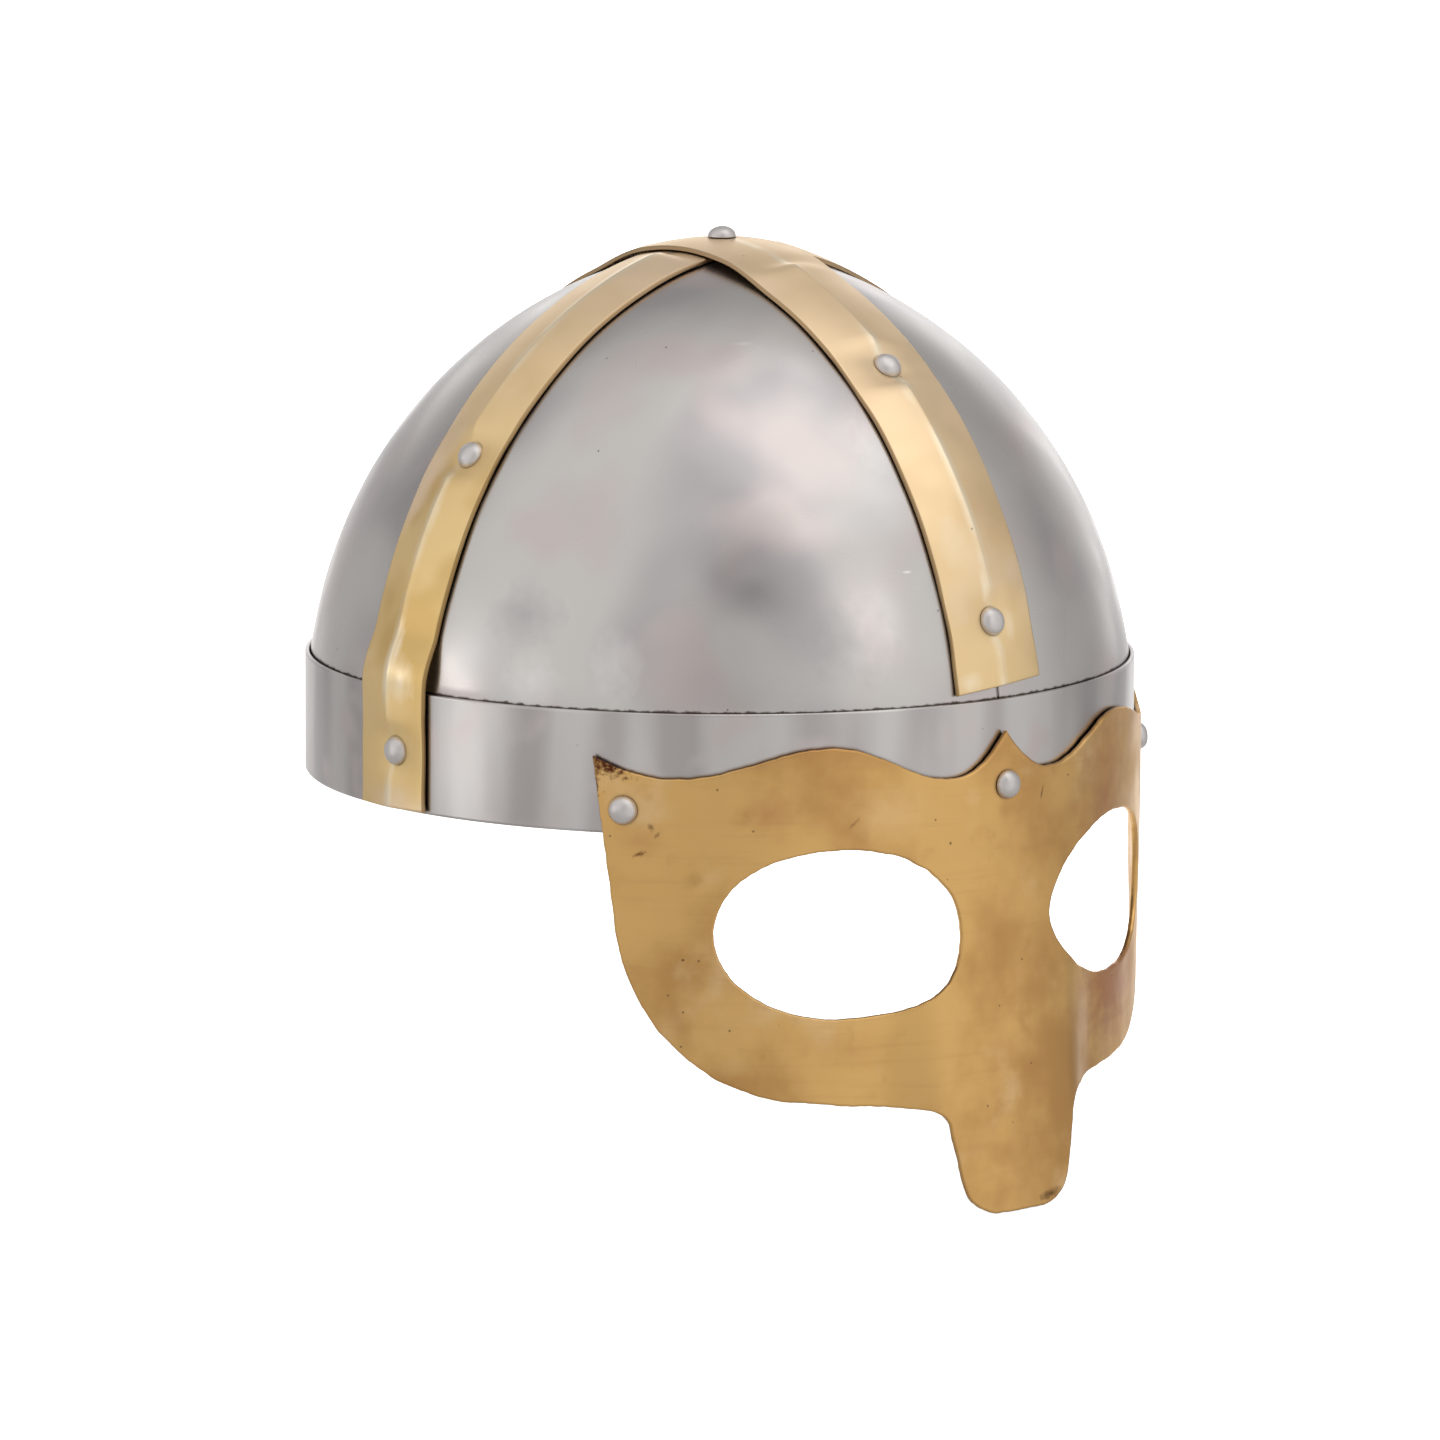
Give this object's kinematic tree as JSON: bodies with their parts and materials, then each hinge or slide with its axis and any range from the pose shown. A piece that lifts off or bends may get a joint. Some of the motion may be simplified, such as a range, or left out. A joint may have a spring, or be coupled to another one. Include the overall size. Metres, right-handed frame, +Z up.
{
  "type": "spangenhelm helmet",
  "caption": "Round steel spangenhelm with ridged brass bands over the crown, a brow band and a riveted brass spectacle guard with a nasal.",
  "frame": {"origin": "On the surface that the helmet lies on, under the centre of its bounding box", "axes": "+X is the wearer's left, +Y is the back of the helmet, and +Z is up; the helmet lies tipped back by about 24 degrees on the tip of its nasal and the rear of its rim"},
  "size_m": [0.2192, 0.2588, 0.173],
  "materials": {
    "skull_steel": "satin-polished mild steel with soft cloudy marks",
    "brow_steel": "brushed mild steel, a little lighter than the skull",
    "band_brass": "polished brass with a crisp bright ridge",
    "mask_brass": "tarnished brass, satin, with dark specks and smears",
    "rivet_steel": "pale satin steel domed rivet heads"
  },
  "bodies": {
    "root": {"skull_plate_front_right": "skull_steel", "skull_plate_front_left": "skull_steel", "skull_plate_back_left": "skull_steel", "skull_plate_back_right": "skull_steel", "brow_band": "brow_steel", "eye_mask": "mask_brass", "side_band": "band_brass", "front_back_band": "band_brass", "rivet_crown": "rivet_steel", "rivet_front_upper": "rivet_steel", "rivet_front_lower": "rivet_steel", "rivet_back_upper": "rivet_steel", "rivet_back_rim": "rivet_steel", "rivet_right_upper": "rivet_steel", "rivet_right_rim": "rivet_steel", "rivet_left_upper": "rivet_steel", "rivet_left_rim": "rivet_steel", "rivet_mask_right": "rivet_steel", "rivet_mask_middle": "rivet_steel", "rivet_mask_left": "rivet_steel"}
  },
  "joints": []
}
